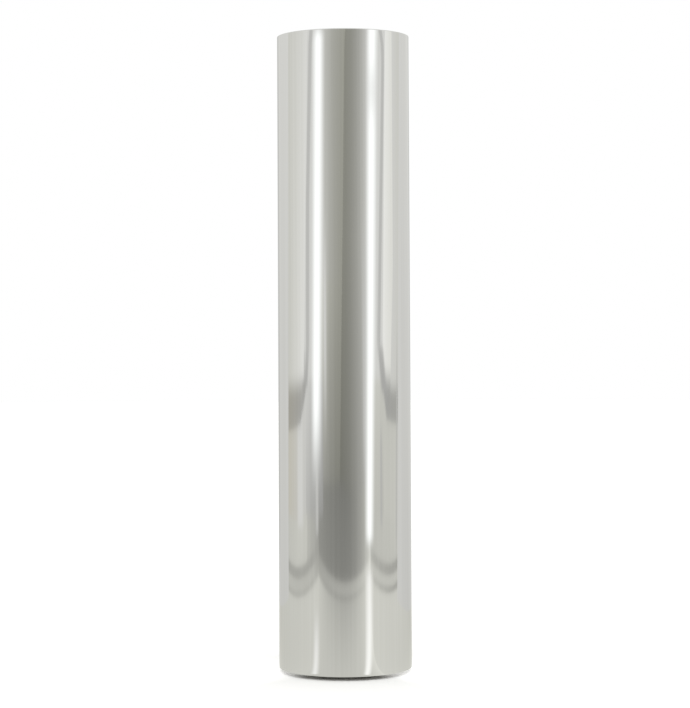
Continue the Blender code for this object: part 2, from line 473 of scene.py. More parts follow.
class NodeShape:
    """A shape that a geometry node tree makes from named sizes."""

    def __init__(self, name: str) -> None:
        """Start an empty tree.

        Args:
            name: Name of the tree.
        """
        self.tree = bpy.data.node_groups.new(name, "GeometryNodeTree")
        self.tree.interface.new_socket("Geometry", in_out="OUTPUT", socket_type="NodeSocketGeometry")
        self.values: dict[str, object] = {}
        self.inlet = add_node(self.tree, "NodeGroupInput")

    def size(self, name: str, value: object, kind: str = "NodeSocketFloat") -> bpy.types.NodeSocket:
        """Add a named input with its value.

        Args:
            name: Name of the input.
            value: What the modifier sets it to.
            kind: Blender's type name of the socket.
        Returns:
            The socket that gives the value inside the tree.
        """
        item = self.tree.interface.new_socket(name, in_out="INPUT", socket_type=kind)
        self.values[item.identifier] = value
        return self.inlet.outputs[name]

    def math(self, operation: str, *terms: object) -> bpy.types.NodeSocket:
        """Result of a sum on sockets and numbers.

        Args:
            operation: Blender's name of the sum.
            terms: Sockets or numbers, in order.
        Returns:
            The socket that gives the result.
        """
        node = add_node(self.tree, "ShaderNodeMath", dict(enumerate(terms)), operation=operation)
        return node.outputs[0]

    def mesh(self, geometry: bpy.types.NodeSocket) -> bpy.types.Mesh:
        """End the tree and turn what it makes into a plain mesh.

        Args:
            geometry: Socket that gives the finished shape.
        Returns:
            The mesh.
        """
        plain = add_node(self.tree, "GeometryNodeRealizeInstances", {"Geometry": geometry})
        material = self.size("Material", None, "NodeSocketMaterial")
        dress = {"Geometry": plain, "Material": material}
        dressed = add_node(self.tree, "GeometryNodeSetMaterial", dress)
        add_node(self.tree, "NodeGroupOutput", {"Geometry": dressed})
        holder = bpy.data.objects.new(self.tree.name, bpy.data.meshes.new(self.tree.name))
        bpy.context.scene.collection.objects.link(holder)
        modifier = holder.modifiers.new("Shape", "NODES")
        modifier.node_group = self.tree
        for identifier, value in self.values.items():
            if value is not None:
                modifier[identifier] = value
        graph = bpy.context.evaluated_depsgraph_get()
        mesh = bpy.data.meshes.new_from_object(holder.evaluated_get(graph))
        holder.modifiers.remove(modifier)
        bpy.data.objects.remove(holder)
        return mesh


@dataclass
class PaperCore:
    """Spiral-wound paper core: liner ply in the bore, glued body plies, cover ply outside."""

    bore_radius: float = 0.0254
    liner_thickness: float = 0.0007
    body_inner: float = 0.0262
    body_outer: float = 0.0288
    body_plies: int = 5
    ply_groove: float = 0.00018
    ply_flat: tuple[float, ...] = (0.18, 0.5, 0.82)  # shares of a ply at which its cut end is flat
    cover_inner: float = 0.0289
    cover_thickness: float = 0.0007
    lead: float = 0.170
    seam: float = 0.0006
    liner_seam_deg: float = 0.0
    cover_seam_deg: float = 180.0
    steps: int = 144
    strip_points: int = 25  # across a strip
    least_face: float = 1e-10  # area of the faces that the square cut flattens

    def ply(self, name: str, inner: float, thickness: float, seam_deg: float) -> bpy.types.Mesh:
        """Paper strip wound edge to edge up the core, with an open seam, and cut off square.

        Args:
            name: Name of the node tree.
            inner: Distance of its inner face from the axis.
            thickness: Its thickness.
            seam_deg: Angle at which its seam leaves the core's lower end.
        Returns:
            The strip's mesh.
        """
        turns = math.ceil((CORE_HIGH - CORE_LOW) / self.lead) + 1
        shape = NodeShape(name)
        tree = shape.tree
        radius = shape.size("Inner Radius", inner)
        lead = shape.size("Lead", self.lead)
        seam = shape.size("Seam", self.seam)
        start = shape.size("Seam Angle", math.radians(seam_deg))
        low = shape.size("Low", CORE_LOW)
        high = shape.size("High", CORE_HIGH)
        wall = shape.size("Thickness", thickness)
        counts = {"Vertices X": turns * self.steps + 1, "Vertices Y": self.strip_points}
        grid = add_node(tree, "GeometryNodeMeshGrid", {"Size X": 1.0, "Size Y": 1.0, **counts})
        place = add_node(tree, "GeometryNodeInputPosition")
        split = add_node(tree, "ShaderNodeSeparateXYZ", {0: place})
        turned = shape.math("MULTIPLY_ADD", split.outputs["X"], float(turns), turns / 2 - 1)
        across = shape.math("ADD", split.outputs["Y"], 0.5)
        strip = shape.math("MULTIPLY_ADD", across, shape.math("SUBTRACT", lead, seam), seam)
        climb = shape.math("MULTIPLY_ADD", turned, lead, strip)
        height = shape.math("MINIMUM", shape.math("MAXIMUM", climb, low), high)
        angle = shape.math("MULTIPLY_ADD", turned, math.tau, start)
        spot = add_node(
            tree,
            "ShaderNodeCombineXYZ",
            {
                "X": shape.math("MULTIPLY", radius, shape.math("COSINE", angle)),
                "Y": shape.math("MULTIPLY", radius, shape.math("SINE", angle)),
                "Z": height,
            },
        )
        spread = {"Geometry": grid.outputs["Mesh"], "Position": spot}
        wound = add_node(tree, "GeometryNodeSetPosition", spread)
        area = add_node(tree, "GeometryNodeInputMeshFaceArea")
        trimmed = add_node(
            tree,
            "GeometryNodeDeleteGeometry",
            {"Geometry": wound, "Selection": shape.math("LESS_THAN", area.outputs[0], self.least_face)},
            domain="FACE",
        )
        clean = add_node(tree, "GeometryNodeMergeByDistance", {"Geometry": trimmed, "Distance": WELD})
        growth = {"Mesh": clean, "Offset Scale": wall, "Individual": False}
        grown = add_node(tree, "GeometryNodeExtrudeMesh", growth)
        back = add_node(tree, "GeometryNodeFlipFaces", {"Mesh": clean})
        both = add_node(tree, "GeometryNodeJoinGeometry")
        tree.links.new(grown.outputs["Mesh"], both.inputs[0])
        tree.links.new(back.outputs[0], both.inputs[0])
        closed = add_node(tree, "GeometryNodeMergeByDistance", {"Geometry": both, "Distance": WELD})
        return shape.mesh(closed.outputs[0])

    def body_mesh(self) -> bpy.types.Mesh:
        """Body wall, whose cut ends show a groove between one ply and the next.

        Returns:
            The wall's mesh.
        """
        edges = np.linspace(self.body_inner, self.body_outer, self.body_plies + 1)
        groove = self.ply_groove
        ply_width = edges[1] - edges[0]
        end = []
        for edge in edges[:-1]:
            end.append((edge, groove))
            end.extend((edge + ply_width * share, 0.0) for share in self.ply_flat)
        end.append((edges[-1], groove))
        low = [(radius, CORE_LOW + depth) for radius, depth in end]
        high = [(radius, CORE_HIGH - depth) for radius, depth in reversed(end)]
        return turned_mesh(np.array(low + high), self.steps)

    def build(self) -> list[bpy.types.Object]:
        """Build the three layers and hang them on the roll.

        Returns:
            The liner, the body and the cover.
        """
        liner_mesh = self.ply("Liner ply", self.bore_radius, self.liner_thickness, self.liner_seam_deg)
        liner = new_piece("core_liner", liner_mesh, LINER)
        body = new_piece("core_body", self.body_mesh(), KRAFT)
        cover_mesh = self.ply("Cover ply", self.cover_inner, self.cover_thickness, self.cover_seam_deg)
        cover = new_piece("core_cover", cover_mesh, KRAFT)
        nodes = ("core_liner_ply", "core_body_plies", "core_cover_ply")
        for piece, node, slot in zip((liner, body, cover), nodes, (Slot.LINER, Slot.KRAFT, Slot.KRAFT)):
            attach(piece, Body.ROLL.value)
            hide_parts(node)
        return [liner, body, cover]


@dataclass
class StartTape:
    """Double-sided tape along the core, which holds the foil's first edge."""

    width: float = 0.025
    thickness: float = 0.00024
    glue_line: float = 0.00003  # between the core and the tape
    middle_deg: float = 30.0
    columns: int = 24
    rows: int = 12

    def build(self) -> list[bpy.types.Object]:
        """Build the strip of tape and hang it on the roll.

        Returns:
            The tape.
        """
        inner = CORE_RADIUS + self.glue_line
        half = self.width / 2 / CORE_RADIUS
        middle = math.radians(self.middle_deg)
        angles = np.linspace(middle - half, middle + half, self.columns + 1)[:, None]
        heights = np.linspace(FOIL_LOW, FOIL_HIGH, self.rows + 1)[None, :]
        web = np.stack(np.broadcast_arrays(angles * inner, heights), axis=-1)
        outer = polar(inner + self.thickness, angles, heights)
        mesh = shell_mesh(outer, polar(inner, angles, heights), web)
        tape = new_piece("start_tape_strip", mesh, TRANSFER)
        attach(tape, Body.ROLL.value)
        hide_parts("start_tape")
        return [tape]


@dataclass
class WoundFoil:
    """Bulk of the wound foil: one spiral web over the start tape, its edges slightly uneven."""

    turns: int = 56  # stands for several hundred, which would be too fine to show
    steps: int = 72
    turn_gap: float = 0.00003
    outer_clearance: float = 0.00009
    tape_lift: float = 0.00028
    tape_fade: float = 0.93  # share of the lift that the next turn keeps
    tape_run_deg: float = 14.0
    drift: float = 0.0005  # how far whole turns wander along the axis
    drift_turns: float = 7.0
    jitter: float = 0.00012
    jitter_rate: float = 1.7  # changes in a turn

    def mesh(self, tape: StartTape) -> bpy.types.Mesh:
        """Spiral web from the core out to the start of the outer turn.

        Args:
            tape: Tape that the first turns pass over.
        Returns:
            The web's mesh.
        """
        first = CORE_RADIUS + tape.glue_line
        last = ROLL_RADIUS - FILM_THICKNESS - self.outer_clearance
        pitch = (last - first) / (self.turns + 1)
        thickness = pitch - self.turn_gap
        points = self.turns * self.steps + 1
        shape = NodeShape("Wound foil")
        tree = shape.tree
        inner = shape.size("Inner Radius", first + thickness / 2)
        step = shape.size("Pitch", pitch)
        film = shape.size("Film Thickness", thickness)
        end = shape.size("End Angle", TURN_START)
        middle = shape.size("Middle Height", (FOIL_LOW + FOIL_HIGH) / 2)
        width = shape.size("Foil Width", FOIL_HIGH - FOIL_LOW)
        lift = shape.size("Tape Lift", self.tape_lift)
        tape_angle = shape.size("Tape Angle", math.radians(tape.middle_deg))
        drift = shape.size("Drift", self.drift)
        jitter = shape.size("Jitter", self.jitter)
        line = add_node(tree, "GeometryNodeMeshLine", {"Count": points})
        index = add_node(tree, "GeometryNodeInputIndex")
        turned = shape.math("DIVIDE", index.outputs[0], float(self.steps))
        from_end = shape.math("SUBTRACT", turned, float(self.turns))
        angle = shape.math("MULTIPLY_ADD", from_end, math.tau, end)
        off_tape = shape.math("WRAP", shape.math("SUBTRACT", angle, tape_angle), math.pi, -math.pi)
        half = tape.width / 2 / CORE_RADIUS
        on_tape = add_node(
            tree,
            "ShaderNodeMapRange",
            {
                "Value": shape.math("ABSOLUTE", off_tape),
                "From Min": half,
                "From Max": half + math.radians(self.tape_run_deg),
                "To Min": 1.0,
                "To Max": 0.0,
            },
            interpolation_type="SMOOTHSTEP",
        )
        fading = shape.math("MULTIPLY", lift, shape.math("POWER", self.tape_fade, turned))
        plain_radius = shape.math("MULTIPLY_ADD", turned, step, inner)
        radius = shape.math("MULTIPLY_ADD", on_tape.outputs[0], fading, plain_radius)
        slow, quick = (
            add_node(tree, "ShaderNodeTexNoise", {"W": turned, "Scale": rate}, noise_dimensions="1D")
            for rate in (1 / self.drift_turns, self.jitter_rate)
        )
        drifting = shape.math("SUBTRACT", slow.outputs[0], NOISE_MIDDLE)
        wander = shape.math("MULTIPLY", drifting, drift)
        jittering = shape.math("SUBTRACT", quick.outputs[0], NOISE_MIDDLE)
        shiver = shape.math("MULTIPLY_ADD", jittering, jitter, wander)
        spot = add_node(
            tree,
            "ShaderNodeCombineXYZ",
            {
                "X": shape.math("MULTIPLY", radius, shape.math("COSINE", angle)),
                "Y": shape.math("MULTIPLY", radius, shape.math("SINE", angle)),
                "Z": shape.math("ADD", middle, shiver),
            },
        )
        spiral = add_node(tree, "GeometryNodeSetPosition", {"Geometry": line, "Position": spot})
        path = add_node(tree, "GeometryNodeMeshToCurve", {"Mesh": spiral})
        upright = add_node(tree, "GeometryNodeSetCurveNormal", {"Curve": path}, mode="Z_UP")
        outline = {"Width": film, "Height": width}
        section = add_node(tree, "GeometryNodeCurvePrimitiveQuadrilateral", outline)
        sweep = {"Curve": upright, "Profile Curve": section, "Fill Caps": True}
        web = add_node(tree, "GeometryNodeCurveToMesh", sweep)
        return shape.mesh(web.outputs[0])

    def build(self, tape: StartTape) -> list[bpy.types.Object]:
        """Build the wound web and hang it on the roll.

        Args:
            tape: Tape that the first turns pass over.
        Returns:
            The wound foil.
        """
        wound = new_piece("wound_foil", self.mesh(tape), FILM_EDGES)
        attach(wound, Body.ROLL.value)
        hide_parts("foil_winding")
        return [wound]


@dataclass
class OuterFoil:
    """The foil's outer turn and its free end, one sheet in life, which parts where it peels."""

    climb_length: float = 0.018  # in which the outer turn climbs over its own start
    columns: int = 720  # in a full turn
    rows: int = 48
    rim_depth: float = 0.0006  # where the slitting knife turned the film's edges in
    rim_turn: float = 0.00010
    rim_rows: int = 4
    fullness: float = 0.0006  # by which the roll's lower end is wound wider
    curl: float = 0.00025  # by which the free edge stands off, except where the tape holds it
    curl_length: float = 0.0045
    held: Pair = (0.014, 0.060)  # from the tape's middle: held down, and free
    bend_length: float = 0.014  # of the free end, when it peels

    def heights(self) -> np.ndarray:
        """Heights of the rows, close together at the rims.

        Returns:
            The heights, from the foil's lower edge upwards.
        """
        rim = np.linspace(0.0, self.rim_depth, self.rim_rows, endpoint=False)
        body = np.linspace(FOIL_LOW + self.rim_depth, FOIL_HIGH - self.rim_depth, self.rows)
        return np.concatenate([FOIL_LOW + rim, body, (FOIL_HIGH - rim)[::-1]])

    def lay(self, heights: np.ndarray) -> np.ndarray:
        """How far the film lies outside the plain cylinder at each height."""
        return self.fullness * (FOIL_HIGH - heights) / (FOIL_HIGH - FOIL_LOW)

    def rim_fall(self, heights: np.ndarray) -> np.ndarray:
        """How far the film is turned in at each height.

        Args:
            heights: Heights over the table.
        Returns:
            Metres towards the axis.
        """
        from_rim = np.minimum(heights - FOIL_LOW, FOIL_HIGH - heights)
        share = np.clip(1 - from_rim / self.rim_depth, 0.0, 1.0)
        return self.rim_turn * share * share

    def stand_off(self, angles: np.ndarray, heights: np.ndarray) -> np.ndarray:
        """How far the film curls off the roll towards its free edge at each point.

        Args:
            angles: Angles round the roll.
            heights: Heights over the table.
        Returns:
            Metres away from the axis.
        """
        from_edge = (TAIL_EDGE - angles) * ROLL_RADIUS
        curled = np.clip(1 - from_edge / self.curl_length, 0.0, 1.0) ** 2
        down, free = self.held
        return self.curl * curled * ease((np.abs(heights - PEEL_PLACE.z) - down) / (free - down))

    def radius(self, angle: np.ndarray) -> np.ndarray:
        """Outer face at each angle: round the winding, then up over its own start.

        Args:
            angle: Angles round the roll.
        Returns:
            Distances from the axis.
        """
        climb_end = TURN_START + math.tau
        climb_start = climb_end - self.climb_length / ROLL_RADIUS
        return ROLL_RADIUS + LAP_RISE * ease((angle - climb_start) / (climb_end - climb_start))

    def sheet(self, first: float, last: float) -> bpy.types.Mesh:
        """Film from one angle to another.

        Args:
            first: Angle where it starts.
            last: Angle where it ends.
        Returns:
            The film's mesh.
        """
        count = math.ceil((last - first) / math.tau * self.columns)
        angles = np.linspace(first, last, count + 1)[:, None]
        heights = self.heights()[None, :]
        outer = self.radius(angles) + self.lay(heights) - self.rim_fall(heights)
        outer = outer + self.stand_off(angles, heights)
        web = np.stack(np.broadcast_arrays(angles * ROLL_RADIUS, heights), axis=-1)
        inner = outer - FILM_THICKNESS
        return shell_mesh(polar(outer, angles, heights), polar(inner, angles, heights), web)

    def bend(self) -> tuple[Vector, Vector]:
        """Points between which the free end bends as it peels.

        Returns:
            Where the bend starts and where it ends.
        """
        length = self.bend_length / ROLL_RADIUS
        angles = np.array([PEEL_ANGLE, PEEL_ANGLE + length])
        ends = polar(np.full(2, ROLL_RADIUS), angles, np.full(2, PEEL_PLACE.z))
        return Vector(ends[0]), Vector(ends[1])

    def build(self) -> list[bpy.types.Object]:
        """Build the outer turn and the free end, and hang the outer turn on its body.

        Returns:
            The outer turn and the free end.
        """
        turn = new_piece("outer_foil_turn", self.sheet(TURN_START, PEEL_ANGLE), FILM)
        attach(turn, Body.OUTER_TURN.value)
        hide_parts("foil_outer_turn")
        tail = new_piece("free_foil_end", self.sheet(PEEL_ANGLE, TAIL_EDGE), FILM)
        start, end = self.bend()
        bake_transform(tail)
        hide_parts("foil_tail")
        return [turn, tail]


@dataclass
class ClosingTape:
    """Crepe paper tape across the foil's free edge, cut on a toothed blade at both ends."""

    length: float = 0.048
    width: float = 0.025
    thickness: float = 0.00014
    lift: float = 0.00004  # off the foil, for its glue
    step: float = 0.0016  # in which it comes down off the free edge
    teeth: int = 14
    tooth: float = 0.0009
    crepe_height: float = 0.00005
    crepe_spacing: float = 0.0008
    cross_spacing: float = 1.62  # of the cross ridges, in spacings of the main ones
    crepe_mix: Pair = (0.6, 0.4)  # main and cross ridges, and slow and quick sway
    crepe_phases: Pair = (2.0, 1.0)  # of the slow sway and the cross ridges
    sway_lengths: Pair = (0.0031, 0.0013)  # across the tape, slow and quick
    sway_drift: float = 0.004  # along the tape, by which the quick sway moves on
    sway_reach: Pair = (2.2, 1.7)  # of the main and the cross ridges
    columns: int = 260
    rows_per_tooth: int = 4

    def crepe(self, along: np.ndarray, across: np.ndarray) -> np.ndarray:
        """Height of the crepe's ridges, which wander across the tape.

        Args:
            along: Metres along the tape.
            across: Metres across it.
        Returns:
            Height of each point over the smooth tape, in metres.
        """
        main, rest = self.crepe_mix
        sway_phase, cross_phase = self.crepe_phases
        slow = np.sin(across / self.sway_lengths[0] + sway_phase)
        quick = np.sin(across / self.sway_lengths[1] + along / self.sway_drift)
        sway = main * slow + rest * quick
        ridges = np.sin(along / self.crepe_spacing * math.tau + sway * self.sway_reach[0])
        cross_angle = along / (self.crepe_spacing * self.cross_spacing) * math.tau
        cross = np.sin(cross_angle - sway * self.sway_reach[1] + cross_phase)
        return self.crepe_height * (main * ridges + rest * cross)

    def build(self, foil: OuterFoil) -> list[bpy.types.Object]:
        """Build the tape on the free end.

        Args:
            foil: Foil that the tape is stuck on.
        Returns:
            The tape.
        """
        rows = self.teeth * self.rows_per_tooth
        across = np.linspace(0.0, self.width, rows + 1)
        saw = np.abs(np.linspace(0.0, self.teeth, rows + 1) % 1.0 - 0.5) * 2
        first = TAIL_EDGE * ROLL_RADIUS - self.length / 2 + self.tooth * saw
        last = TAIL_EDGE * ROLL_RADIUS + self.length / 2 - self.tooth * (1 - saw)
        share = np.linspace(0.0, 1.0, self.columns + 1)[:, None]
        along = first[None, :] + (last - first)[None, :] * share
        past_edge = along - TAIL_EDGE * ROLL_RADIUS
        seat = ROLL_RADIUS + LAP_RISE * (1 - ease(past_edge / self.step)) + self.lift
        low = PEEL_PLACE.z - self.width / 2
        heights = np.broadcast_to(low + across[None, :], along.shape)
        seat = seat + foil.lay(heights)
        angles = along / ROLL_RADIUS
        ridges = self.crepe(past_edge, heights - low)
        web = np.stack([along, heights], axis=-1)
        outer = polar(seat + self.thickness + ridges, angles, heights)
        mesh = shell_mesh(outer, polar(seat, angles, heights), web)
        tape = new_piece("closing_paper_tape", mesh, CREPE)
        start, end = foil.bend()
        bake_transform(tape)
        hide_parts("closing_tape")
        return [tape]


@dataclass(frozen=True)
class Card:
    """A studio card that only mirrors see: it glows, and may fade out towards its edges.

    Corners and their glow run from the low inner one to the low outer, high outer and high inner
    one. Inner is nearer to the camera's bearing, and low is nearer to the roll on the table.
    """

    name: str
    corners: tuple[Vector, Vector, Vector, Vector]
    glow: Quad
    fade: Quad = NO_FADE  # shares at the inner, outer, low and high edge
    bend: float = 1.0  # power by which the glow gathers towards the outer edge
    hug: float = 0.0  # distance from the axis that its low edge keeps, if any
    tints: tuple[str, str] = (WHITE, WHITE)  # at the inner and the outer edge

    def material(self) -> bpy.types.Material:
        """Glow that runs smoothly between the corners, over clear card where it fades.

        Returns:
            The material.
        """
        material, tree, output = new_material(self.name)
        place = add_node(tree, "ShaderNodeUVMap", uv_map="card")
        across, up, _ = add_node(tree, "ShaderNodeSeparateXYZ", {0: place}).outputs
        bent = add_node(tree, "ShaderNodeMath", {0: across, 1: self.bend}, operation="POWER")
        low_inner, low_outer, high_outer, high_inner = self.glow
        low, high = (
            add_node(tree, "ShaderNodeMapRange", {"Value": bent, "To Min": inner, "To Max": outer})
            for inner, outer in ((low_inner, low_outer), (high_inner, high_outer))
        )
        glow = add_node(tree, "ShaderNodeMapRange", {"Value": up, "To Min": low, "To Max": high})
        tint = add_node(
            tree,
            "ShaderNodeMix",
            {"Factor": across, "A": linear(self.tints[0]), "B": linear(self.tints[1])},
            data_type="RGBA",
        )
        shader = add_node(tree, "ShaderNodeEmission", {"Color": tint.outputs["Result"], "Strength": glow})
        inner, outer, bottom, top = self.fade
        ramps = ((across, 0.0, inner), (across, 1.0, 1 - outer), (up, 0.0, bottom), (up, 1.0, 1 - top))
        for axis, edge, full in ramps:
            if edge == full:
                continue
            mask = add_node(
                tree,
                "ShaderNodeMapRange",
                {"Value": axis, "From Min": edge, "From Max": full},
                interpolation_type="SMOOTHSTEP",
            )
            clear = add_node(tree, "ShaderNodeBsdfTransparent")
            shader = add_node(tree, "ShaderNodeMixShader", {0: mask, 1: clear, 2: shader})
        tree.links.new(shader.outputs[0], output.inputs["Surface"])
        material.cycles.emission_sampling = "NONE"
        return material

    def build(self) -> bpy.types.Object:
        """Set the card up in the studio.

        Returns:
            The card, which only mirrors see.
        """
        share = np.linspace(0.0, 1.0, CARD_STEPS + 1)
        across, up = (grid[..., None] for grid in np.meshgrid(share, share, indexing="ij"))
        low_inner, low_outer, high_outer, high_inner = (np.array(corner) for corner in self.corners)
        low = low_inner + (low_outer - low_inner) * across
        high = high_inner + (high_outer - high_inner) * across
        if self.hug:
            low[..., :2] *= self.hug / np.linalg.norm(low[..., :2], axis=-1, keepdims=True)
        number = np.arange(share.size**2).reshape(share.size, share.size)
        corners = (number[:-1, :-1], number[1:, :-1], number[1:, 1:], number[:-1, 1:])
        faces = np.stack(corners, -1).reshape(-1, 4)
        mesh = bpy.data.meshes.new(self.name)
        mesh.from_pydata((low + (high - low) * up).reshape(-1, 3).tolist(), [], faces.tolist())
        layer = mesh.uv_layers.new(name="card")
        places = np.concatenate([across, up], axis=-1).reshape(-1, 2)
        layer.data.foreach_set("uv", places[faces.ravel()].astype(np.float32).ravel())
        mesh.materials.append(self.material())
        card = bpy.data.objects.new(self.name, mesh)
        bpy.context.scene.collection.objects.link(card)
        for rays in ("camera", "diffuse", "transmission", "volume_scatter", "shadow"):
            setattr(card, f"visible_{rays}", False)
        return card


def even(glow: float) -> Quad:
    """The same glow at a card's four corners."""
    return glow, glow, glow, glow


def bearing_point(bearing_deg: float, distance: float, height: float) -> Vector:
    """Point at a bearing from the camera's side, a distance from the axis and a height."""
    bearing = math.radians(bearing_deg)
    return Vector((distance * math.sin(bearing), -distance * math.cos(bearing), height))


@dataclass
class Studio:
    """White studio round the roll: floor, light from all sides, and what the mirror shows."""

    floor_radius: float = 6.0
    floor_facets: int = 64
    floor_colour: str = "#FAFAF8"
    floor_glow: float = 0.42  # painted light on the table at the roll's sides, which hides the shadow there
    glow_left: Pair = (-0.64, -1.13)  # sines of the bearings where this glow starts and would be full
    glow_right: Pair = (0.56, 1.0)
    level: float = 1.0  # of the light on matt surfaces
    top_gain: float = 0.35
    front_loss: float = 0.75
    front_top: float = 0.5  # sine of the elevation from which the front loses nothing
    room: Pair = (2.2, 2.2)  # distances of the room behind the camera
    room_top: float = 1.05
    wall: Pair = (1.5, 1.5)  # distances of the walls beside it
    post: Pair = (1.28, 1.25)  # distances of the post at a flat's inner edge
    backdrop: Pair = (0.50, 0.50)  # distances of the backdrop behind the roll
    back_gap: Pair = (0.40, 0.40)
    flat_top: float = 0.75  # height of the flats, strip lights and backdrop
    flat_end: float = 116.0  # bearing at which the walls and flats end, behind the backdrop
    table_hug: float = 0.0532  # distance from the axis at which the table starts to show in the roll
    table_line: float = 0.52  # half the square at which the line inside its rim starts
    table_rim: float = 0.57
    table_half: float = 0.68
    front_end: float = 2.4  # half the square at which the floor in front of it ends
    card_lift: float = 0.0004
    sheen_lift: float = 0.0008
    sheen_fade: float = 0.5  # share of a sheen's width that fades out at each side

    def floor(self) -> bpy.types.Object:
        """White floor that keeps the roll's shadow in front of it and behind it; at the roll's sides it
        glows with painted light, which hides the shadow there.

        Returns:
            The floor.
        """
        angles = np.linspace(0, math.tau, self.floor_facets, endpoint=False)
        mesh = bpy.data.meshes.new("floor")
        rim = polar(np.array(self.floor_radius), angles, np.array(CORE_LOW))
        mesh.from_pydata(rim.tolist(), [], [tuple(range(len(angles)))])
        # Seamless background paper: matt white, so it shows a soft shadow and no mirror image
        material, tree, output = new_material("matt_white_paper")
        place = add_node(tree, "ShaderNodeTexCoord").outputs["Object"]
        bearing = add_node(tree, "ShaderNodeVectorMath", {0: place}, operation="NORMALIZE")
        aside = add_node(tree, "ShaderNodeSeparateXYZ", {0: bearing})
        # Painted light: the floor glows at the roll's sides, for the camera and mirrors, so that no
        # shadow shows there
        at_left, at_right = (
            add_node(
                tree,
                "ShaderNodeMapRange",
                {"Value": aside, "From Min": start, "From Max": full, "To Max": self.floor_glow},
                interpolation_type="SMOOTHSTEP",
            )
            for start, full in (self.glow_left, self.glow_right)
        )
        at_sides = add_node(tree, "ShaderNodeMath", {0: at_left, 1: at_right}, operation="ADD")
        rays = add_node(tree, "ShaderNodeLightPath").outputs
        seen = rays["Is Camera Ray"]
        for kind in ("Is Glossy Ray", "Is Transmission Ray"):
            seen = add_node(tree, "ShaderNodeMath", {0: seen, 1: rays[kind]}, operation="MAXIMUM")
        glow = add_node(tree, "ShaderNodeMath", {0: at_sides, 1: seen}, operation="MULTIPLY")
        matt = add_node(tree, "ShaderNodeBsdfDiffuse", {"Color": linear(self.floor_colour)})
        painted_side_light = add_node(tree, "ShaderNodeEmission", {"Strength": glow})
        shader = add_node(tree, "ShaderNodeAddShader", {0: matt, 1: painted_side_light})
        tree.links.new(shader.outputs[0], output.inputs["Surface"])
        mesh.materials.append(material)
        floor = bpy.data.objects.new("floor", mesh)
        bpy.context.scene.collection.objects.link(floor)
        return floor

    def world(self) -> None:
        """White all round; matt surfaces get more of it from above and less from the dark front."""
        world = bpy.data.worlds.new("studio")
        bpy.context.scene.world = world
        world.use_nodes = True
        tree = world.node_tree
        tree.nodes.clear()
        all_round = add_node(tree, "ShaderNodeTexCoord").outputs["Generated"]
        _, back, up = add_node(tree, "ShaderNodeSeparateXYZ", {0: all_round}).outputs
        front = add_node(
            tree,
            "ShaderNodeMapRange",
            {"Value": back, "From Min": 0.0, "From Max": -1.0, "To Max": self.front_loss},
        )
        low = add_node(
            tree,
            "ShaderNodeMapRange",
            {"Value": up, "From Max": self.front_top, "To Min": 1.0, "To Max": 0.0},
        )
        above = add_node(
            tree,
            "ShaderNodeMapRange",
            {"Value": up, "To Min": self.level, "To Max": self.level + self.top_gain},
        )
        loss = add_node(tree, "ShaderNodeMath", {0: front, 1: low}, operation="MULTIPLY")
        thrown = add_node(tree, "ShaderNodeMath", {0: above, 1: loss}, operation="SUBTRACT")
        matt = add_node(tree, "ShaderNodeLightPath").outputs["Is Diffuse Ray"]
        strength = add_node(tree, "ShaderNodeMapRange", {"Value": matt, "To Min": 1.0, "To Max": thrown})
        light = {"Color": linear(WHITE), "Strength": strength}
        background = add_node(tree, "ShaderNodeBackground", light)
        add_node(tree, "ShaderNodeOutputWorld", {"Surface": background})

    def upright(
        self,
        side: Side,
        name: str,
        low: Pair,
        high: Pair,
        distances: Pair,
        heights: Pair,
        glow: Quad,
        fade: Quad = NO_FADE,
        bend: float = 1.0,
        tints: tuple[str, str] = (WHITE, WHITE),
    ) -> Card:
        """Upright card that faces the roll.

        Args:
            side: Side of the studio.
            name: Name of the card, which gets its side's name in front.
            low: Bearings of its inner and outer edge at its low end.
            high: Bearings of these edges at its high end.
            distances: Distances of these edges from the axis.
            heights: Its low and high end.
            glow: Glow at its corners.
            fade: Shares of it that fade out at its edges.
            bend: Power by which its glow gathers outwards.
            tints: Colours of its glow at the inner and the outer edge.
        Returns:
            The card.
        """
        corners = [
            bearing_point(side.value * bearings[edge], distances[edge], height)
            for bearings, edge, height in (
                (low, 0, heights[0]),
                (low, 1, heights[0]),
                (high, 1, heights[1]),
                (high, 0, heights[1]),
            )
        ]
        return Card(f"{side.name.lower()}_{name}", tuple(corners), glow, fade, bend, tints=tints)

    def table_band(
        self,
        side: Side,
        bearing_deg: float,
        name: str,
        squares: Pair,
        glow: Quad,
        bend: float = 1.0,
        shares: Pair = (-1.0, 1.0),
    ) -> Card:
        """Part of one side of a square band on the table.

        Args:
            side: Half of the table.
            bearing_deg: Bearing of the square's side.
            name: Name of the card, which gets its half's name in front.
            squares: Half the size of the squares that it lies between.
            glow: Glow at its corners.
            bend: Power by which its glow gathers outwards.
            shares: Where the card starts and ends on that side, from -1 to 1 outwards.
        Returns:
            The card.
        """
        middle = math.radians(bearing_deg * side.value)
        ahead = Vector((math.sin(middle), -math.cos(middle), 0.0))
        along = Vector((math.cos(middle), math.sin(middle), 0.0)) * side.value
        lift = Vector((0.0, 0.0, self.card_lift))
        corners = [
            ahead * squares[far] + along * squares[far] * shares[end] + lift
            for end, far in ((0, 0), (1, 0), (1, 1), (0, 1))
        ]
        hug = self.table_hug if squares[0] <= self.table_hug else 0.0
        full_name = f"{side.name.lower()}_{name}"
        return Card(full_name, tuple(corners), glow, bend=bend, hug=hug, tints=(PALE, PALE))

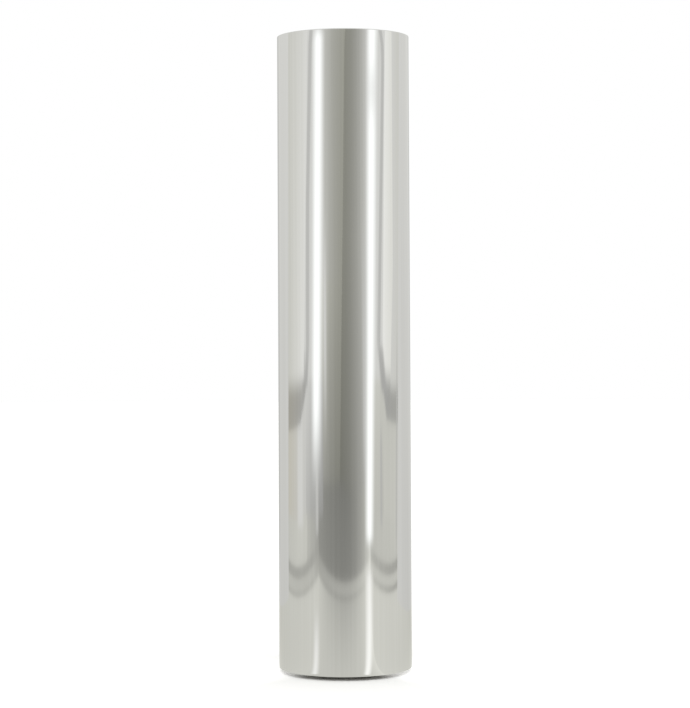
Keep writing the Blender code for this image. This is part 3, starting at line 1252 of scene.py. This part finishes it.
    def streak(
        self,
        side: Side,
        start: Pair,
        bearing_deg: float,
        length: float,
        half_widths: Pair,
        glow: Pair,
        far_fade: float,
    ) -> Card:
        """Sheen of a strip light on the glossy table.

        Args:
            side: Side of the light.
            start: Where it starts at the roll.
            bearing_deg: Bearing in which it runs.
            length: Its length.
            half_widths: Half its width at the start and at the far end.
            glow: Its glow at the start and at the far end.
            far_fade: Share of it that fades out at the far end.
        Returns:
            The card.
        """
        ahead = bearing_point(bearing_deg * side.value, 1.0, 0.0)
        across = Vector((-ahead.y, ahead.x, 0.0)) * side.value
        near = Vector((start[0], start[1], self.sheen_lift))
        far = near + ahead * length
        corners = (
            near - across * half_widths[0],
            near + across * half_widths[0],
            far + across * half_widths[1],
            far - across * half_widths[1],
        )
        shades = (glow[0], glow[0], glow[1], glow[1])
        fade = (self.sheen_fade, self.sheen_fade, 0.0, far_fade)
        return Card(f"{side.name.lower()}_table_sheen", corners, shades, fade)

    def left_cards(self) -> list[Card]:
        """What the left of the roll mirrors.

        Returns:
            The cards, from the room and its walls down to the table.
        """
        stand = partial(self.upright, Side.LEFT)
        front = partial(self.table_band, Side.LEFT, 0, shares=(0, 1))
        aside = partial(self.table_band, Side.LEFT, 90)
        hug, line, rim, half = self.table_hug, self.table_line, self.table_rim, self.table_half
        far, top, post = self.flat_end, self.flat_top, self.post
        gap_end, side_end = 0.79, 1.6  # half the squares at which the gap and the floor beside it end
        corner_end, shine_start = -0.72, -0.42  # shares where the dark corner ends and the shine starts
        post_fade = (0.35, 0.25, 0, 0)
        return [
            stand(
                "room_low", (8.4, 42), (3.4, 42), self.room, (0, 0.36), (0.355, 0.58, 1.0, 0.495),
                bend=1.9, tints=(WARM, PALE),
            ),
            stand(
                "room", (3.4, 42), (-6.3, 42), self.room, (0.36, self.room_top),
                (0.495, 1.0, 0.98, 0.53), bend=1.9, tints=(WARM, WHITE),
            ),
            stand("wall", (37, 70), (37, 70), self.wall, (0, 0.2), (0.50, 0.75, 1.0, 0.66), bend=1.3),
            stand(
                "wall_end", (70, far), (70, far), self.wall, (0, 0.3), (0.88, 0.81, 0.81, 1.02),
                tints=(WHITE, TAN),
            ),
            stand("wall_stripe", (72, 92), (72, 92), (1.3, 1.3), (0, 0.2), even(1.0), (0.4, 0.4, 0, 0)),
            stand(
                "strip_light", (36.3, 62), (27, 53.8), (1.2, 1.2), (0.045, top), even(1.8),
                (0.55, 0.45, 0.2, 0.13), tints=(COOL, COOL),
            ),
            stand(
                "strip_foot", (43.5, 52.5), (43.5, 52.5), (1.19, 1.19), (-0.04, 0.12), even(0.84),
                (0.5, 0.5, 0.4, 0.4),
            ),
            stand(
                "strip_spill", (28, 37), (28, 37), (1.15, 1.15), (0.10, 0.45), even(0.98),
                (0.5, 0.5, 0.5, 0.4),
            ),
            stand("flat_post_top", (59, 68.3), (50.2, 59), post, (0.45, top), even(0.77), post_fade),
            stand("flat_post", (60.2, 69.2), (59, 68.3), post, (0.25, 0.45), even(0.77), post_fade),
            stand(
                "flat_corner", (64.5, 73), (60.2, 69.2), post, (0.195, 0.25), (0.62, 0.62, 0.77, 0.77),
                post_fade,
            ),
            stand(
                "flat_foot", (78, far), (64, far), (1.33, 1.04), (0.143, 0.203), even(0.57),
                (0.09, 0, 0, 0), tints=(WHITE, TAN),
            ),
            stand(
                "flat_foot_top", (70, far), (70, far), (1.34, 0.96), (0.197, 0.242), even(0.57),
                (0.1, 0, 0, 0), tints=(WHITE, TAN),
            ),
            stand(
                "flat_face", (72, far), (60, far), (1.25, 0.90), (0.186, top), (1.18, 0.86, 0.88, 1.08),
                (0.08, 0, 0.06, 0), tints=(WHITE, PALE),
            ),
            stand(
                "backdrop", (110.7, 180), (104, 180), self.backdrop, (0, top), (0.90, 0.74, 0.99, 1.06)
            ),
            stand(
                "back_gap", (143, 163), (143, 163), self.back_gap, (0.02, 0.72), even(0.66),
                (0.5, 0.5, 0.1, 0.1),
            ),
            front("floor", (half, self.front_end), (0.35, 0.45, 0.45, 0.285), 1.6),
            front("front_rim", (rim, half), (0.66, 0.62, 0.54, 0.63), 1.6),
            front("front_line", (line, rim), (0.52, 0.66, 0.62, 0.52), 1.6),
            front("front_table", (hug, line), (0.83, 0.92, 0.93, 0.63), 1.6),
            aside("side_table", (hug, line), (0.94, 0.82, 0.85, 0.94)),
            aside("side_line", (line, rim), even(0.68)),
            aside("side_corner", (rim, half), (0.62, 0.76, 0.66, 0.58), shares=(-1, corner_end)),
            aside("side_rim", (rim, half), even(0.77), shares=(corner_end, 1)),
            aside("side_gap", (half, gap_end), even(0.57)),
            aside("side_floor", (gap_end, side_end), (0.40, 0.75, 0.75, 0.40), 0.5, (-1, shine_start)),
            aside("side_shine", (gap_end, side_end), (0.88, 0.90, 0.90, 0.88), shares=(shine_start, 0)),
            aside("side_back", (gap_end, side_end), (0.88, 0.76, 0.76, 0.88), 0.8, (0, 1)),
            self.streak(Side.LEFT, (-0.0397, -0.0577), 50.0, 0.46, (0.008, 0.065), (1.30, 1.10), 0.8),
        ]

    def right_cards(self) -> list[Card]:
        """What the right of the roll mirrors.

        Returns:
            The cards, from the room and its walls down to the table.
        """
        stand = partial(self.upright, Side.RIGHT)
        # The table's side is turned a little here, so its squares have other sizes, and its bands
        # start and end where they meet those in front and behind
        side_deg, front_shares, side_shares = 80, (0, 0.9325), (-0.7536, 1.428)
        front = partial(self.table_band, Side.RIGHT, 0, shares=front_shares)
        aside = partial(self.table_band, Side.RIGHT, side_deg, shares=side_shares)
        hug, line, rim, half = self.table_hug, self.table_line, self.table_rim, self.table_half
        far, top, post = self.flat_end, self.flat_top, self.post
        side_line, side_rim, side_half, gap_end, side_end = 0.56, 0.615, 0.715, 0.825, 1.7
        back_line = 0.62  # half the square at which the table behind the roll ends
        post_fade = (0.4, 0.2, 0, 0)
        face_foot = 0.35  # height from which the side of the flat is narrower
        return [
            stand(
                "room_low", (-8.4, 44), (-2.52, 44), self.room, (0, 0.42), (0.285, 0.88, 1.03, 0.375),
                bend=2.1, tints=(WARM, WHITE),
            ),
            stand(
                "room", (-2.52, 44), (6.3, 44), self.room, (0.42, self.room_top),
                (0.375, 1.03, 0.92, 0.42), bend=2.1, tints=(WARM, WHITE),
            ),
            stand(
                "wall", (38, 69.5), (38, 69.5), self.wall, (0, 0.2), (0.86, 0.76, 0.88, 0.92),
                tints=(PALE, PALE),
            ),
            stand(
                "wall_end", (69.5, far), (69.5, far), self.wall, (0, 0.3), even(0.86),
                tints=(PALE, PALE),
            ),
            stand(
                "wall_gap", (62.2, 67), (62.2, 67), (1.3, 1.3), (0, 0.15), even(0.72),
                (0.3, 0.3, 0, 0.3),
            ),
            stand(
                "strip_light", (31.4, 51.4), (38.2, 66.7), (1.05, 1.05), (0, top), even(1.8),
                (0.5, 0.5, 0.02, 0.09), tints=(COOL, COOL),
            ),
            stand(
                "strip_dip", (34, 66), (34, 66), (1.0, 1.0), (0.512, 0.612), even(0.79),
                (0.9, 0.9, 0.5, 0.5),
            ),
            stand(
                "strip_spill", (29, 39), (29, 39), (1.15, 1.15), (0.03, 0.48), even(0.84),
                (0.5, 0.5, 0.3, 0.5),
            ),
            stand("flat_post_top", (67.5, 76), (61, 69.5), post, (0.64, top), even(0.76), post_fade),
            stand("flat_post", (56, 64.5), (67.5, 76), post, (0.25, 0.64), even(0.76), post_fade),
            stand(
                "flat_corner", (64, 80.5), (56.5, 71), (1.2, 1.0), (0.19, 0.25), (0.58, 0.58, 0.70, 0.70),
                (0.35, 0.3, 0, 0),
            ),
            stand(
                "flat_foot", (75, far), (65.5, far), (1.26, 1.08), (0.151, 0.205), even(0.57),
                (0.08, 0, 0, 0), tints=(WHITE, PALE),
            ),
            stand(
                "flat_foot_top", (70.5, far), (70.5, far), (1.26, 0.91), (0.200, 0.245), even(0.57),
                (0.1, 0, 0, 0), tints=(WHITE, PALE),
            ),
            stand(
                "flat_face", (66, far), (77, far), (1.25, 0.90), (0.191, top), (1.28, 1.0, 1.02, 1.26),
                (0.08, 0, 0.07, 0), tints=(WHITE, PALE),
            ),
            stand(
                "flat_side_foot", (83, 117), (91.2, 117), (0.90, 0.86), (0.188, face_foot),
                (0.96, 0.88, 0.885, 0.965), (0.06, 0, 0.2, 0), tints=(WHITE, PALE),
            ),
            stand(
                "flat_side", (91.2, 117), (91.5, 117), (0.90, 0.86), (face_foot, top),
                (0.965, 0.885, 0.90, 0.98), (0.06, 0, 0, 0), tints=(WHITE, PALE),
            ),
            stand("backdrop", (97, 180), (114, 180), self.backdrop, (0, top), (0.93, 0.73, 1.10, 0.98)),
            stand(
                "back_gap", (150, 164), (150, 164), self.back_gap, (0.02, 0.72), even(0.62),
                (0.5, 0.5, 0.1, 0.1),
            ),
            stand(
                "backdrop_shade", (92.2, 97.7), (97.7, 103.2), (0.495, 0.495), (0.035, 0.3), even(0.72),
                (0.5, 0.5, 0.15, 0.4),
            ),
            front("floor", (half, self.front_end), (0.35, 1.0, 1.0, 0.285), 1.75),
            front("front_rim", (rim, half), (0.66, 1.14, 1.14, 0.63), 1.5),
            front("front_line", (line, rim), (0.52, 1.15, 1.15, 0.52), 1.5),
            front("front_table", (hug, line), (0.83, 1.09, 1.18, 0.63), 1.4),
            aside("side_table", (hug, side_line), (0.97, 0.82, 0.90, 0.97)),
            aside("side_line", (side_line, side_rim), (1.05, 0.42, 0.42, 1.05), 0.3),
            aside("side_rim", (side_rim, side_half), (0.88, 0.82, 0.82, 0.88)),
            aside("side_gap", (side_half, gap_end), (1.0, 0.48, 0.48, 1.0), 0.15),
            aside("side_floor", (gap_end, side_end), (0.80, 0.90, 0.90, 0.80)),
            self.table_band(Side.RIGHT, 180, "back_table", (hug, back_line), even(0.80)),
            self.streak(Side.RIGHT, (0.0272, -0.0645), 42.3, 0.80, (0.0064, 0.142), (1.54, 1.36), 0.25),
        ]

    def build(self) -> list[bpy.types.Object]:
        """Set up the studio.

        Returns:
            The floor and the cards.
        """
        self.world()
        return [self.floor()] + [card.build() for card in self.left_cards() + self.right_cards()]


@dataclass
class Camera:
    """Camera at the photograph's viewing angle."""

    distance: float = 1.6428
    height: float = 0.2734
    pitch_deg: float = 0.7536  # downwards
    yaw_deg: float = 0.0251  # to the right
    roll_deg: float = 0.2706  # clockwise
    lens: float = 105.01
    clip_start: float = 0.05

    def build(self) -> bpy.types.Object:
        """Set the camera up and make it the scene's.

        Returns:
            The camera.
        """
        data = bpy.data.cameras.new("camera")
        data.lens = self.lens
        data.clip_start = self.clip_start
        camera = bpy.data.objects.new("camera", data)
        camera.location = (0.0, -self.distance, self.height)
        turns = (90 - self.pitch_deg, self.roll_deg, -self.yaw_deg)
        camera.rotation_euler = tuple(math.radians(turn) for turn in turns)
        bpy.context.scene.collection.objects.link(camera)
        bpy.context.scene.camera = camera
        return camera


def write_sizes() -> None:
    """Bring the scene's placements up to date."""
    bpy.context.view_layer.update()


def main() -> None:
    """Build the roll from the core outwards, then the studio round it."""
    logging.basicConfig(level=logging.INFO, format="%(name)s: %(message)s")
    bpy.context.scene.view_settings.view_transform = "Standard"
    tape, foil = StartTape(), OuterFoil()
    pieces = PaperCore().build() + tape.build() + WoundFoil().build(tape)
    pieces += foil.build() + ClosingTape().build(foil)
    for piece in pieces:
        mesh = piece.data
        LOG.info("%s: %d faces, %s", piece.name, len(mesh.polygons), mesh.materials[0].name)
    Studio().build()
    Camera().build()
    write_sizes()


if __name__ == "__main__":
    main()
